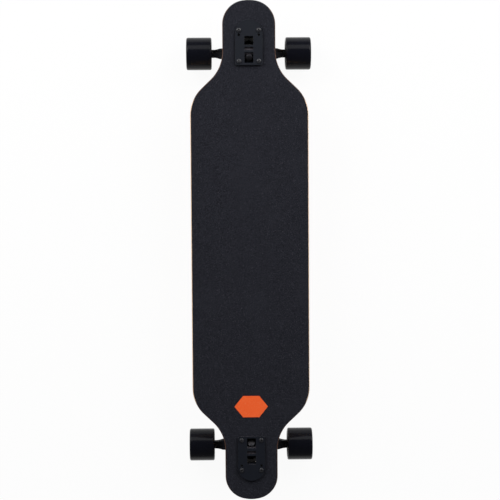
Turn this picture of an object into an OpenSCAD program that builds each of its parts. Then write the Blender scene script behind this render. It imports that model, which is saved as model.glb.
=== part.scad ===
// Drop-through longboard: a cut-out maple deck on two reverse-kingpin trucks with four wheels.
// Millimetres. The origin is on the ground under the middle of the board, +Y is the nose, +Z is up.

/* [Deck] */
// Length over the tips
deck_l = 1041; // [980:1:1120]
// Width across the full-width middle
deck_w = 244.5; // [232:0.5:258]
// Width of the necks that carry the trucks
neck_w = 109.5; // [106:0.5:114]
// Thickness of the laminated maple
deck_t = 12; // [9:0.5:14]
// Length of the straight full-width middle
middle_l = 566; // [540:1:590]
// Radius of the wheel cut-out where it leaves the neck
cove_r = 80; // [70:1:95]
// Radius of the shoulder where the cut-out meets the full width
shoulder_r = 78; // [60:1:85]
// Angle between the cut-out's straight run and the length of the deck
cut_angle = 46; // [42:1:50]
// Radius of the front of each tip
tip_r = 77; // [68:1:85]
// Radius of the corners beside each tip
tip_corner_r = 49; // [44:1:51]
// Height that the rails rise above the flat middle
concave_rise = 8; // [3:0.5:14]
// Width of the flat strip between the rising rails
flat_w = 80; // [70:1:100]
// Radius of the rounded edge on the grip's side
edge_top_r = 1.2; // [0.8:0.1:1.3]
// Radius of the rounded edge on the road side
edge_r = 3; // [1.5:0.5:4]

/* [Grip] */
// Thickness of the grip tape
grip_t = 0.8; // [0.5:0.1:1.5]
// Bare wood left between the grip tape and the edge of the deck
grip_margin = 1.4; // [1.4:0.1:4]
// Bare line round each truck flange and round the inlay
grip_gap = 0.8; // [0.3:0.1:2]
// Length of the coloured inlay, across the board
inlay_l = 70; // [40:1:76]
// Width of the coloured inlay, along the board
inlay_w = 45; // [25:1:60]
// Length of the inlay's straight sides
inlay_side = 34; // [10:1:38]
// Distance from the middle of the board back to the inlay
inlay_back = 324; // [280:1:330]

/* [Deck bolts] */
// Distance from the middle of the board to the middle of each bolt pattern
truck_y = 426; // [415:1:432]
// Spacing of the bolts across the board
bolt_x = 41.3; // [40:0.1:43]
// Spacing of the bolts along the board
bolt_y = 63.5; // [60:0.5:66]
// Distance inward from the outer bolts to the spare pair of holes
spare_step = 9.5; // [9:0.5:12]
// Diameter of the bolts
bolt_d = 5; // [4:0.1:5.5]
// Clearance on the diameter of every bolt hole
bolt_gap = 0.5; // [0.3:0.1:0.8]
// Diameter of the bolt heads
bolt_head_d = 9.2; // [8:0.1:10]
// Height of the bolt heads
bolt_head_h = 2.8; // [2:0.1:4]
// Width of the hexagon socket in the bolt heads
bolt_socket = 3; // [2.5:0.5:4]
// Width over the flats of the nuts
bolt_nut_af = 8; // [7:0.5:8.5]
// Height of the nuts
bolt_nut_h = 5; // [4:0.5:7]
// Length of thread that shows past the nuts
bolt_tail = 2.4; // [1.6:0.2:6]
// Pitch of the bolts' thread
bolt_pitch = 0.8; // [0.7:0.1:1]

/* [Baseplate] */
// Width of the flange that lies on the deck
flange_w = 56.6; // [54:0.1:62]
// Thickness of the flange
flange_t = 6; // [5:0.5:8]
// Reach of the flange from the pattern's middle towards the middle of the board
flange_in = 39.5; // [39:0.5:43]
// Distance from the pattern's middle out to the centre of the flange's arch
arch_out = 25.4; // [22:0.1:30]
// Width of the body that passes through the deck
body_w = 30; // [28:0.5:31]
// Clearance round that body in the deck's cut-out
body_gap = 0.6; // [0.3:0.1:1]
// Width of the windows cast into the flange
window_w = 18.5; // [14:0.5:20]
// Width of the tower that holds the pivot cup, at its foot
tower_w = 24; // [20:0.5:26]
// Height from the axle's centre to the top of the flange
truck_h = 66; // [62:0.5:72]
// Distance of the axle inward of the bolt pattern's middle
axle_in = 11; // [8:0.5:14]
// Angle of the steering axis above the deck
steer_angle = 45; // [44:1:48]

/* [Kingpin] */
// Diameter of the kingpin
kingpin_d = 9.5; // [8:0.1:10]
// Width over the flats of the kingpin's head and nut
kingpin_af = 14.3; // [13:0.1:15]
// Thickness of the kingpin's head
kingpin_head_h = 6.5; // [5:0.5:7]
// Distance of the head inward of the bolt pattern's middle
head_in = 26; // [25:0.5:28]
// Depth of the head's top below the flange
head_depth = 5; // [4:0.5:7]
// Distance from the head's top to the middle of the hanger's ring
ring_drop = 42; // [40:0.5:44]
// Height of the kingpin's nut
kingpin_nut_h = 9; // [8:0.5:11]
// Length of thread that shows past the nut
kingpin_tail = 3; // [2:0.5:6]
// Pitch of the kingpin's and the axles' thread
rod_pitch = 1; // [0.8:0.05:1.2]

/* [Bushings] */
// Diameter of the bushings
bushing_d = 24.8; // [23:0.1:25]
// Height of the barrel bushing on the deck's side
barrel_h = 15.5; // [14:0.5:17]
// Height of the cone bushing on the road side
cone_h = 13.5; // [12:0.5:16]
// Diameter of the cone bushing's small end
cone_d = 19.5; // [17:0.5:23]
// Thickness of the cup washers
cup_t = 1.6; // [1.2:0.1:2.5]
// Height of the cup washers' lips
cup_lip = 1.6; // [1:0.1:2.5]

/* [Hanger] */
// Length of the hanger between the wheels' inner bearings
hanger_l = 182; // [176:1:186]
// Diameter of the ring round the kingpin
ring_d = 35; // [33:0.5:37]
// Thickness of the web in the ring
ring_web = 8; // [6:0.5:9]
// Height of the ring's rim above its web, on each side
ring_rim = 2.6; // [1:0.1:3.5]
// Bore of the ring, wide enough for the kingpin when the truck leans
ring_bore = 17; // [16:0.5:19]
// Distance along the steering axis from the ring's middle to the pivot's tip ball
pivot_reach = 47.5; // [46.5:0.5:49]
// Diameter of the pivot
pivot_d = 12.6; // [11:0.1:13]
// Width of the arms beside the deck, along the board
arm_w = 21; // [18:0.5:23]
// Diameter of the arms' ends
arm_end_d = 17; // [16:0.5:19]
// Wall of the urethane pivot cup
pivot_cup_t = 2.4; // [2:0.1:3]
// Diameter of the axle
axle_d = 8; // [7.9:0.05:8]
// Length of the axle
axle_l = 255; // [253:1:258]
// Width over the flats of the axle nuts
axle_nut_af = 12.7; // [12:0.1:14]
// Height of the axle nuts
axle_nut_h = 7.5; // [6:0.5:8]

/* [Wheels] */
// Diameter of the wheels
wheel_d = 68; // [64:0.5:72]
// Width of the wheels
wheel_w = 53; // [48:0.5:54]
// Radius of the wheels' lips
lip_r = 3.5; // [1:0.5:8]
// Diameter inside the lip, where the dished side begins
dish_d = 58; // [50:0.5:60]
// Diameter of the hard core
core_d = 36; // [32:0.5:40]
// Width of the hard core
core_w = 25; // [24.5:0.5:27]
// Number of hollows in each face of the core
core_hollows = 9; // [6:1:10]

/* [Bearings] */
// Outer diameter of a bearing
bearing_d = 22; // [22:0.1:22.4]
// Width of a bearing
bearing_w = 7; // [7:0.1:7.4]
// Length of the spacer between a wheel's two bearings
spacer_l = 10; // [10:0.1:10.6]
// Diameter of a ball
ball_d = 3.97; // [3.6:0.01:4]
// Number of balls in a bearing
ball_count = 7; // [6:1:7]
// Thickness of the washers beside the bearings
washer_t = 1; // [0.8:0.1:1.2]

/* [Hidden] */

$fn = 64;

// Ends of the board, and sides seen from above with the nose up
front = 1;
rear = -1;
left = -1;
right = 1;

// Clearances: press is for pieces pressed together, run for what turns, slide for loose fits
press = 0.02;
run = 0.05;
slide = 0.3;
// Overlap that fuses shapes of one piece, and overshoot of a cut past a face
fuse = 0.5;
past = 1;

// Heights above the ground
axle_z = wheel_d / 2;
flange_z = axle_z + truck_h;
deck_top = flange_z - flange_t;
deck_bottom = deck_top - deck_t;
// Film of glue under the grip tape
glue_t = 0.2;

// The outline's steps in each arc and in each tip's corner, and the surface's steps across each rail
arc_steps = 9;
corner_steps = 14;
rail_steps = 4;
edge_steps = 3;
// Half width of the short straight at the very tip
tip_flat = 4;
// Share of the half width that stays flat where the board is narrower than its flat strip
flat_share = 0.75;

// Where the cut-out's straight run and the neck begin
run_side = (deck_w - neck_w) / 2 - (shoulder_r + cove_r) * (1 - cos(cut_angle));
neck_y = middle_l / 2 + (shoulder_r + cove_r) * sin(cut_angle) + run_side / tan(cut_angle);
// The tip's corner arcs touch its front arc from inside
corner_x = neck_w / 2 - tip_corner_r;
corner_y = deck_l / 2 - tip_r + sqrt(pow(tip_r - tip_corner_r, 2) - pow(corner_x, 2));
tip_turn = acos(corner_x / (tip_r - tip_corner_r));
tip_third = (acos(tip_flat / tip_r) - tip_turn) / 3;
// Radius of the rails' rise
rail_w = (deck_w - flat_w) / 2;
concave_r = (rail_w * rail_w + concave_rise * concave_rise) / (2 * concave_rise);

// Unit vectors in the truck's side view: out along the board, and up
axis_up = [cos(steer_angle), sin(steer_angle)];
pin_down = [sin(steer_angle), -cos(steer_angle)];
head_at = [-head_in, -head_depth];
ring_at = head_at + ring_drop * pin_down;
axle_at = [-axle_in, -truck_h];
// The axle's place measured down the steering axis from the ring, and off that axis
axle_along = -(axle_at - ring_at) * axis_up;
axle_off = (axle_at - ring_at) * pin_down;

// Stations along the kingpin, measured from the head's top
web_top = ring_drop - ring_web / 2;
barrel_top = web_top - barrel_h;
seat_end = barrel_top - cup_t;
web_end = ring_drop + ring_web / 2;
cone_end = web_end + cone_h;
nut_top = cone_end + cup_t;
nut_end = nut_top + kingpin_nut_h;
pin_end = nut_end + kingpin_tail;

// The pivot's socket
pivot_r = pivot_d / 2;
cup_r = pivot_r + pivot_cup_t;
housing_wall = 2.6;
housing_r = cup_r + housing_wall;
housing_top = pivot_reach - 4.5;
cup_floor = pivot_reach + pivot_r + slide + pivot_cup_t;
housing_end = cup_floor + housing_wall;

// Wheel stations: the two bearings sit against the spacer in the middle of the wheel
wheel_x = hanger_l / 2 + washer_t + bearing_w + spacer_l / 2;
bearing_z = spacer_l / 2;
stack_end = bearing_z + bearing_w;
core_r = core_d / 2;
bearing_r = bearing_d / 2;
pitch_r = (bearing_r + axle_d / 2) / 2;
ball_r = ball_d / 2;
inner_ring_r = pitch_r - 1.5;
outer_ring_r = pitch_r + 1.5;
shield_r = outer_ring_r + 0.5;
shield_t = 0.4;
shield_in = 0.3;
shoulder_bore_r = bearing_r - 1.2;

// Places one truck's pieces: +Y is outward, and z = 0 is the top of the flange
module at_truck(end) {
    rotate([0, 0, end == front ? 0 : 180])
        translate([0, truck_y, flange_z])
            children();
}

// Places a wheel's pieces: +Z is outward along the axle, z = 0 is the wheel's middle
module at_wheel(end, side) {
    at_truck(end)
        translate([side * end * wheel_x, -axle_in, -truck_h])
            rotate([0, side * end * 90, 0])
                children();
}

// Points +Z down the kingpin, with z = 0 at the top of its head
module on_kingpin(z = 0) {
    translate([0, head_at[0], head_at[1]])
        rotate([180 + steer_angle, 0, 0])
            translate([0, 0, z])
                children();
}

// Points +Z down the steering axis towards the pivot, with z = 0 at the ring and +Y towards the deck
module on_axis(z = 0) {
    translate([0, ring_at[0], ring_at[1]])
        rotate([90 + steer_angle, 0, 0])
            translate([0, 0, z])
                children();
}

// Extrudes a side-view profile, drawn as [out, up], to a width centred on the truck
module side_plate(width) {
    rotate([90, 0, 90])
        linear_extrude(width, center = true)
            children();
}

// Extrudes a front-view profile, drawn as [across, up], through the truck's length
module front_plate(length) {
    rotate([90, 0, 0])
        linear_extrude(length, center = true)
            children();
}

module tube(r_out, r_in, h) {
    difference() {
        cylinder(r = r_out, h = h);
        translate([0, 0, -past])
            cylinder(r = r_in, h = h + 2 * past);
    }
}

// A hexagon nut or head with its corners turned off at 30 degrees on the far face
module hexagon(af, h) {
    face_r = 0.47 * af;
    intersection() {
        cylinder(r = af / sqrt(3), h = h, $fn = 6);
        cylinder(r1 = face_r + h / tan(30), r2 = face_r, h = h);
    }
}

// A lock nut: hexagon with a round collar that holds the nylon ring
module lock_nut(af, h, bore_r) {
    collar_h = h * 0.25;
    difference() {
        union() {
            hexagon(af, h - collar_h);
            cylinder(r = af * 0.43, h = h);
        }
        translate([0, 0, -past])
            cylinder(r = bore_r, h = h + 2 * past);
    }
}

// Points on an arc; a negative radius gives the concave side
function arc(centre, r, from, to, steps) = [
    for (i = [0:steps])
        let (t = from + (to - from) * i / steps)
            centre + r * [cos(t), sin(t)]
];

// The front right quarter of the outline, from the full width to the tip, set in by a distance
function quarter(inset) = concat(
    arc([deck_w / 2 - shoulder_r, middle_l / 2], shoulder_r - inset, 0, cut_angle, arc_steps),
    arc([neck_w / 2 + cove_r, neck_y], -cove_r - inset, cut_angle, 0, arc_steps),
    arc([corner_x, corner_y], tip_corner_r - inset, 0, tip_turn, corner_steps),
    arc([0, deck_l / 2 - tip_r], tip_r - inset, tip_turn + tip_third, tip_turn + 2 * tip_third, 1),
    [[tip_flat, deck_l / 2 - inset]]
);

// The whole right side, from the tail to the nose
function right_side(inset) =
    let (q = quarter(inset), n = len(q) - 1)
        concat([for (i = [n:-1:0]) [q[i][0], -q[i][1]]], q);

// The rails' rise at a distance from the middle line
function lift(x) =
    let (out = abs(x) - flat_w / 2)
        out > 0 ? concave_r - sqrt(concave_r * concave_r - out * out) : 0;

// Places across a row: flat in the middle, stepped over each rail
function columns(w) =
    let (c = min(flat_w / 2, flat_share * w))
        concat(
            [for (j = [rail_steps:-1:0]) -c - (w - c) * j / rail_steps],
            [for (j = [0:rail_steps]) c + (w - c) * j / rail_steps]
        );

function on_board(x, y, z) = [x, y, z + lift(x)];

// A sheet that follows the board's outline and concave. levels lists [inset, height] from its
// bottom surface to its top surface.
module board_sheet(levels) {
    top = len(levels) - 1;
    paths = [for (l = levels) right_side(l[0])];
    rows = len(paths[0]);
    loops = [
        for (i = [0:rows - 1])
            concat(
                [for (x = columns(paths[0][i][0])) on_board(x, paths[0][i][1], levels[0][1])],
                [for (l = [1:1:top - 1]) on_board(paths[l][i][0], paths[l][i][1], levels[l][1])],
                [for (x = columns(paths[top][i][0])) on_board(-x, paths[top][i][1], levels[top][1])],
                [for (l = [top - 1:-1:1]) on_board(-paths[l][i][0], paths[l][i][1], levels[l][1])]
            )
    ];
    m = len(loops[0]);
    wide = 2 * (rail_steps + 1);
    sides = [
        for (i = [0:rows - 2])
            for (j = [0:m - 1])
                let (k = (j + 1) % m, a = i * m, b = (i + 1) * m)
                    each [[a + j, a + k, b + k], [a + j, b + k, b + j]]
    ];
    // Each tip is closed by strips between the left and the right end of every level
    right_of = [for (l = [0:top]) wide - 1 + l];
    left_of = [for (l = [0:top]) (m - l) % m];
    cap = [
        for (l = [0:top - 1])
            let (
                low = l == 0 ? [for (j = [0:wide - 1]) j] : [left_of[l], right_of[l]],
                high = l == top - 1
                    ? [for (j = [0:wide - 1]) right_of[top] + j]
                    : [right_of[l + 1], left_of[l + 1]]
            )
                each concat(
                    [for (j = [0:len(low) - 2]) [low[j], low[j + 1], high[0]]],
                    [for (j = [0:len(high) - 2]) [high[j], high[j + 1], low[0]]]
                )
    ];
    nose = [for (t = cap) [for (j = t) (rows - 1) * m + j]];
    tail = [for (t = cap) [t[2], t[1], t[0]]];
    polyhedron(points = [for (l = loops) each l], faces = concat(sides, nose, tail), convexity = 6);
}

// The rounded edge as levels: a quarter turn below, a straight wall, a quarter turn above
edge_levels = concat(
    [
        for (i = [0:edge_steps])
            let (t = 90 * i / edge_steps)
                [edge_r * (1 - sin(t)), deck_bottom + edge_r * (1 - cos(t))]
    ],
    [
        for (i = [0:edge_steps])
            let (t = 90 * i / edge_steps)
                [edge_top_r * (1 - cos(t)), deck_top - edge_top_r * (1 - sin(t))]
    ]
);

// The four corners of the truck's bolt pattern
module at_bolts() {
    for (x = [-1, 1])
        for (y = [-1, 1])
            translate([x * bolt_x / 2, y * bolt_y / 2, 0])
                children();
}

// The flange seen from above: a plate with rounded corners inward and a round arch outward
module flange_outline(grow = 0) {
    corner = 4;
    half = flange_w / 2;
    translate([-half - grow, corner - flange_in])
        square([flange_w + 2 * grow, arch_out + flange_in - corner]);
    translate([corner - half, -flange_in - grow])
        square([flange_w - 2 * corner, arch_out + flange_in]);
    for (x = [-1, 1])
        translate([x * (half - corner), corner - flange_in])
            circle(r = corner + grow);
    translate([0, arch_out])
        circle(r = half + grow);
}

// The body where it passes through the deck, seen from above, and the cut-out round it
body_in = flange_in - 2;
cutout_out = 24;
module deck_cutout() {
    corner = 1.5;
    half = body_w / 2 + body_gap;
    length = cutout_out + body_in + body_gap;
    translate([-half, corner - body_in - body_gap])
        square([2 * half, length - 2 * corner]);
    translate([corner - half, -body_in - body_gap])
        square([2 * half - 2 * corner, length]);
    for (x = [-1, 1])
        for (y = [corner - body_in - body_gap, cutout_out - corner])
            translate([x * (half - corner), y])
                circle(r = corner);
}

module deck() {
    color("burlywood")
        difference() {
            board_sheet(edge_levels);
            for (end = [front, rear])
                at_truck(end)
                    translate([0, 0, -flange_t - deck_t - past]) {
                        linear_extrude(deck_t + 2 * past)
                            deck_cutout();
                        at_bolts()
                            cylinder(d = bolt_d + bolt_gap, h = deck_t + 2 * past);
                    }
        }
}

module inlay_outline(grow = 0) {
    half_l = inlay_l / 2 + grow;
    half_w = inlay_w / 2 + grow;
    side = inlay_side / 2;
    polygon([
        [half_l, 0], [side, half_w], [-side, half_w],
        [-half_l, 0], [-side, -half_w], [side, -half_w]
    ]);
}

module grip_tape() {
    color([0.15, 0.15, 0.17])
        difference() {
            board_sheet([
                [grip_margin, deck_top + glue_t],
                [grip_margin, deck_top + glue_t + grip_t]
            ]);
            for (end = [front, rear])
                at_truck(end)
                    translate([0, 0, -flange_t - past])
                        linear_extrude(grip_t + 2 * past)
                            flange_outline(grip_gap);
            translate([0, -inlay_back, deck_top - past])
                linear_extrude(grip_t + 2 * past)
                    inlay_outline(grip_gap);
        }
}

module grip_inlay() {
    color([0.92, 0.35, 0.16])
        translate([0, -inlay_back, deck_top + glue_t])
            linear_extrude(grip_t)
                inlay_outline();
}

// The open window's ends, and the place that the apron past it may not come inward of
open_window = [1.4, 20];
ring_clear = 17;

// Side view of the baseplate's body: the kingpin's wedge above, the pivot's tower below
seat_mid = head_at + seat_end * pin_down;
seat_r = body_w / 2;
seat_low = seat_mid - seat_r * axis_up;
tower_mouth = ring_at - housing_top * axis_up - housing_r * pin_down;
module baseplate_side() {
    foot = ring_at - housing_end * axis_up - housing_r * pin_down;
    polygon([
        [-body_in, fuse - flange_t],
        seat_mid + (fuse - flange_t - seat_mid[1]) / axis_up[1] * axis_up,
        seat_low,
        seat_low + [-1.5, -6],
        tower_mouth,
        foot + 3 * axis_up,
        foot + [-1.5, 6],
        [-body_in, -flange_t - deck_t - 6]
    ]);
}

// Front view of the same body: as wide as the cut-out allows above, drawn in to the tower below
module baseplate_front() {
    half = body_w / 2;
    waist = seat_mid[1] - seat_r * axis_up[1];
    polygon([
        [-half, past], [half, past], [half, waist + 4], [tower_w / 2, waist - 10],
        [housing_r, -truck_h - 20], [-housing_r, -truck_h - 20],
        [-tower_w / 2, waist - 10], [-half, waist + 4]
    ]);
}

// An apron under the outward window, down to the deck's lower face and clear of the ring
module baseplate_apron() {
    bottom = -flange_t - deck_t;
    outer = cutout_out - body_gap;
    outer_bevel = 2;
    inner_bevel = 0.8;
    side_plate(body_w)
        polygon([
            [open_window[1], fuse - flange_t], [outer, fuse - flange_t],
            [outer, bottom + outer_bevel], [outer - outer_bevel, bottom],
            [ring_clear + inner_bevel, bottom], [ring_clear, bottom + inner_bevel]
        ]);
}

// Recesses in both sides of the tower, which leave a web between a front and a back rib
module tower_recesses() {
    web = 13;
    rib = 4;
    for (side = [-1, 1])
        translate([side * (web + body_w) / 2, 0, 0])
            side_plate(body_w)
                polygon([
                    [rib - body_in, -flange_t - deck_t - 6 - rib],
                    seat_low + [-rib, -rib],
                    seat_low + [-rib - 1, -2 * rib],
                    tower_mouth + [-0.5, 2 * rib],
                    tower_mouth + [-rib, 2.5 * rib]
                ]);
}

// The windows: an open one outward, a narrow one, and the deep one that takes the kingpin's head
module flange_windows() {
    head_seat = head_at + kingpin_head_h * pin_down;
    reach = kingpin_af / 2 + 2.5;
    low = head_seat - reach * axis_up;
    back = -body_in + 1.5;
    slot_window = [-9, -2.4];
    head_window = -13.5;
    translate([-window_w / 2, open_window[0], -flange_t - past])
        cube([window_w, open_window[1] - open_window[0], flange_t + 2 * past]);
    translate([-window_w / 2, slot_window[0], -flange_t + 1])
        cube([window_w, slot_window[1] - slot_window[0], flange_t]);
    side_plate(window_w)
        polygon([
            [head_window, past],
            [head_window, head_seat[1] + (head_window - head_seat[0]) * tan(steer_angle)],
            low,
            [back, low[1] + (low[0] - back) / tan(steer_angle)],
            [back, past]
        ]);
}

module baseplate() {
    color([0.16, 0.17, 0.19])
        difference() {
            union() {
                translate([0, 0, -flange_t])
                    linear_extrude(flange_t)
                        flange_outline();
                intersection() {
                    side_plate(body_w)
                        baseplate_side();
                    front_plate(4 * flange_w)
                        baseplate_front();
                }
                baseplate_apron();
                on_axis(housing_top)
                    cylinder(r = housing_r, h = housing_end - housing_top);
            }
            flange_windows();
            tower_recesses();
            on_kingpin(kingpin_head_h - past)
                cylinder(r = kingpin_d / 2 + press, h = seat_end);
            on_axis(housing_top - past)
                cylinder(r = cup_r + press, h = cup_floor - housing_top + past);
            translate([0, 0, -flange_t - past]) {
                at_bolts()
                    cylinder(d = bolt_d + bolt_gap, h = flange_t + 2 * past);
                for (x = [-1, 1])
                    translate([x * bolt_x / 2, bolt_y / 2 - spare_step, 0])
                        cylinder(d = bolt_d + bolt_gap, h = flange_t + 2 * past);
            }
        }
}

// Cuts the thread that shows at a rod's end, drawn as separate grooves; the rod ends at z = 0, above
module thread(r, pitch, length) {
    depth = 0.6 * pitch;
    flank = (depth + past) * tan(30);
    for (z = [pitch / 2:pitch:length])
        translate([0, 0, -z])
            rotate_extrude()
                polygon([[r - depth, 0], [r + past, -flank], [r + past, flank]]);
}

bolt_l = flange_t + deck_t + bolt_nut_h + bolt_tail;
module deck_bolts() {
    socket_h = 2;
    color([0.22, 0.22, 0.24])
        at_bolts()
            difference() {
                union() {
                    translate([0, 0, -bolt_l])
                        cylinder(d = bolt_d, h = bolt_l + fuse);
                    intersection() {
                        cylinder(d = bolt_head_d, h = bolt_head_h);
                        translate([0, 0, bolt_head_h - bolt_head_d])
                            sphere(r = bolt_head_d);
                    }
                }
                translate([0, 0, bolt_head_h - socket_h])
                    cylinder(d = bolt_socket * 2 / sqrt(3), h = socket_h + past, $fn = 6);
                translate([0, 0, -bolt_l])
                    mirror([0, 0, 1])
                        thread(bolt_d / 2, bolt_pitch, bolt_tail);
            }
}

module deck_nuts() {
    color([0.6, 0.6, 0.62])
        at_bolts()
            translate([0, 0, -flange_t - deck_t])
                mirror([0, 0, 1])
                    lock_nut(bolt_nut_af, bolt_nut_h, bolt_d / 2 + press);
}

module kingpin() {
    color([0.3, 0.3, 0.32])
        on_kingpin()
            difference() {
                union() {
                    translate([0, 0, kingpin_head_h])
                        mirror([0, 0, 1])
                            hexagon(kingpin_af, kingpin_head_h);
                    translate([0, 0, kingpin_head_h - fuse])
                        cylinder(d = kingpin_d, h = pin_end - kingpin_head_h + fuse);
                }
                translate([0, 0, pin_end])
                    thread(kingpin_d / 2, rod_pitch, kingpin_tail);
            }
}

module kingpin_nut() {
    color([0.6, 0.6, 0.62])
        on_kingpin(nut_top)
            lock_nut(kingpin_af, kingpin_nut_h, kingpin_d / 2 + press);
}

// A dished washer whose lip holds a bushing's end of the given radius; the lip points to +Z
module cup_washer(held_r) {
    difference() {
        cylinder(r = held_r + 1.6, h = cup_t + cup_lip);
        translate([0, 0, cup_t])
            cylinder(r = held_r + 0.2, h = cup_lip + past);
        translate([0, 0, -past])
            cylinder(d = kingpin_d + slide, h = cup_t + 2 * past);
    }
}

module cup_washers() {
    color([0.7, 0.7, 0.72]) {
        on_kingpin(seat_end)
            cup_washer(bushing_d / 2);
        on_kingpin(nut_top)
            mirror([0, 0, 1])
                cup_washer(cone_d / 2);
    }
}

// Urethane bushing turned from r1 to r2, with its edges rounded and its bore open
module bushing(r1, r2, h) {
    round_r = 1.5;
    bore_r = kingpin_d / 2 + 0.1;
    rotate_extrude()
        difference() {
            union() {
                polygon([[bore_r, 0], [r1 - round_r, 0], [r2 - round_r, h], [bore_r, h]]);
                polygon([[bore_r, round_r], [r1, round_r], [r2, h - round_r], [bore_r, h - round_r]]);
                translate([r1 - round_r, round_r])
                    circle(r = round_r);
                translate([r2 - round_r, h - round_r])
                    circle(r = round_r);
            }
            square([bore_r, h]);
        }
}

module barrel_bushing() {
    color([0.8, 0.3, 0.15])
        on_kingpin(barrel_top)
            bushing(bushing_d / 2, bushing_d / 2, barrel_h);
}

module cone_bushing() {
    color([0.8, 0.3, 0.15])
        on_kingpin(web_end)
            bushing(bushing_d / 2, cone_d / 2, cone_h);
}

module pivot_cup() {
    color([0.1, 0.1, 0.1])
        on_axis(housing_top)
            difference() {
                cylinder(r = cup_r, h = cup_floor - housing_top);
                translate([0, 0, -past])
                    cylinder(r = pivot_r + run, h = pivot_reach - housing_top + past);
                translate([0, 0, pivot_reach - housing_top])
                    sphere(r = pivot_r + run);
            }
}

// The arms, measured across from the middle of the truck: a round boss at each end, and inward of it a
// body that sweeps up to the roof under the ring and out to its full width under the deck
arm_x = hanger_l / 2;
boss_l = 14;
body_x = arm_x - boss_l;
body_rise = arm_end_d / 2 - 1;
roof_x = 18;
roof_h = 16;
sweep_h = roof_h - body_rise;
sweep_r = (pow(body_x - roof_x, 2) + pow(sweep_h, 2)) / (2 * sweep_h);
flare_x = 60;
flare_w = arm_w / 2 - body_rise;
flare_r = (pow(body_x - flare_x, 2) + pow(flare_w, 2)) / (2 * flare_w);

// A big circle that rounds the sweep on one side, or with a greater radius cuts under it
module sweep(side, deeper = 0) {
    translate([side * body_x, body_rise + sweep_r])
        circle(r = sweep_r + deeper, $fn = 360);
}

// Front view of the arms, as [across, above the axle]
module hanger_front() {
    belly_x = 28;
    belly = body_rise + 2.5;
    difference() {
        polygon([
            [-body_x, -body_rise], [-belly_x, -belly], [belly_x, -belly],
            [body_x, -body_rise], [body_x, roof_h], [-body_x, roof_h]
        ]);
        for (side = [-1, 1])
            sweep(side);
    }
}

// Top view of the arms, as [across, out from the axle]
module hanger_top() {
    difference() {
        square([2 * body_x, arm_w], center = true);
        for (x = [-1, 1])
            for (y = [-1, 1])
                translate([x * body_x, y * (body_rise + flare_r)])
                    circle(r = flare_r, $fn = 180);
    }
}

// Side view of the web that joins ring, axle tube and pivot, as [off the axis, along the axis]
web_w = 20;
module hanger_web_side() {
    start = bushing_d / 2 + slide + 0.4;
    end = housing_top - 1.5;
    tube_r = arm_end_d / 2;
    polygon([
        [6.2, start], [6.8, end - 4], [5.8, end],
        [-axle_off - 2, end], [-axle_off - tube_r + 3, axle_along + tube_r - 2],
        [-axle_off - tube_r, axle_along - 2], [-6.2, start]
    ]);
}

// Recesses in both sides of that web
module web_recesses() {
    web = 9;
    top = ring_d / 2 + 1.5;
    low = housing_top - 6;
    on_axis()
        rotate([90, 0, 90])
            for (side = [-1, 1])
                translate([0, 0, side * (web + web_w) / 2])
                    linear_extrude(web_w, center = true)
                        polygon([[3, top], [3, low], [-4, low], [-4, top + 6], [-2, top]]);
}

module hanger_ring() {
    r = ring_d / 2;
    rim_h = ring_web / 2 + ring_rim;
    rotate_extrude()
        difference() {
            union() {
                translate([0, -rim_h])
                    square([r - 1, 2 * rim_h]);
                translate([0, 1 - rim_h])
                    square([r, 2 * rim_h - 2]);
                for (z = [1 - rim_h, rim_h - 1])
                    translate([r - 1, z])
                        circle(r = 1);
            }
            for (z = [ring_web / 2, -ring_web / 2 - ring_rim - past])
                translate([0, z])
                    square([bushing_d / 2 + slide, ring_rim + past]);
        }
}

module hanger() {
    collar_l = 3.5;
    collar_d = 14;
    color([0.12, 0.12, 0.13])
        difference() {
            union() {
                on_kingpin(ring_drop)
                    hanger_ring();
                on_axis()
                    rotate([90, 0, 90])
                        linear_extrude(web_w, center = true)
                            hanger_web_side();
                on_axis(housing_top - 6)
                    cylinder(r = pivot_r, h = pivot_reach - housing_top + 6);
                on_axis(pivot_reach)
                    sphere(r = pivot_r);
                translate([0, axle_at[0], axle_at[1]]) {
                    intersection() {
                        front_plate(arm_w + 2 * past)
                            hanger_front();
                        translate([0, 0, -arm_w])
                            linear_extrude(2 * arm_w)
                                hanger_top();
                    }
                    rotate([0, 90, 0]) {
                        cylinder(d = arm_end_d, h = hanger_l - 2 * collar_l, center = true);
                        cylinder(d = collar_d, h = hanger_l, center = true);
                    }
                }
            }
            arm_hollows();
            arm_recesses();
            web_recesses();
            on_kingpin(ring_drop - ring_web)
                cylinder(d = ring_bore, h = 2 * ring_web);
            on_axis(housing_top - 1.5)
                tube(housing_r + 4, pivot_r, pivot_reach);
            translate([0, axle_at[0], axle_at[1]])
                rotate([0, 90, 0])
                    cylinder(r = axle_d / 2 + press, h = hanger_l + 2 * past, center = true);
        }
}

// Hollows cast into the top of the arms, which follow the sweep
module arm_hollows() {
    depth = 2.2;
    from_x = 24;
    to_x = body_x - 3;
    translate([0, axle_at[0], axle_at[1]])
        front_plate(arm_w / 2)
            for (side = [-1, 1])
                intersection() {
                    sweep(side, depth);
                    translate([side * (from_x + to_x) / 2, roof_h])
                        square([to_x - from_x, 2 * roof_h], center = true);
                }
}

// Recesses in both faces of the arms, two to an arm, with a slanting rib between them
module arm_recesses() {
    floor_y = 5.5;
    low = 2 - body_rise;
    inner = [[22, low], [36, low], [47, 5.6], [22, 10.2]];
    outer = [[41, low], [body_x - 9, low + 0.5], [body_x - 9, 3.6], [51.5, 5.2]];
    for (face = [-1, 1])
        translate([0, axle_at[0] + face * (floor_y + arm_w / 2), axle_at[1]])
            front_plate(arm_w)
                for (side = [-1, 1])
                    for (recess = [inner, outer])
                        polygon([for (p = recess) [side * p[0], p[1]]]);
}

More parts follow.
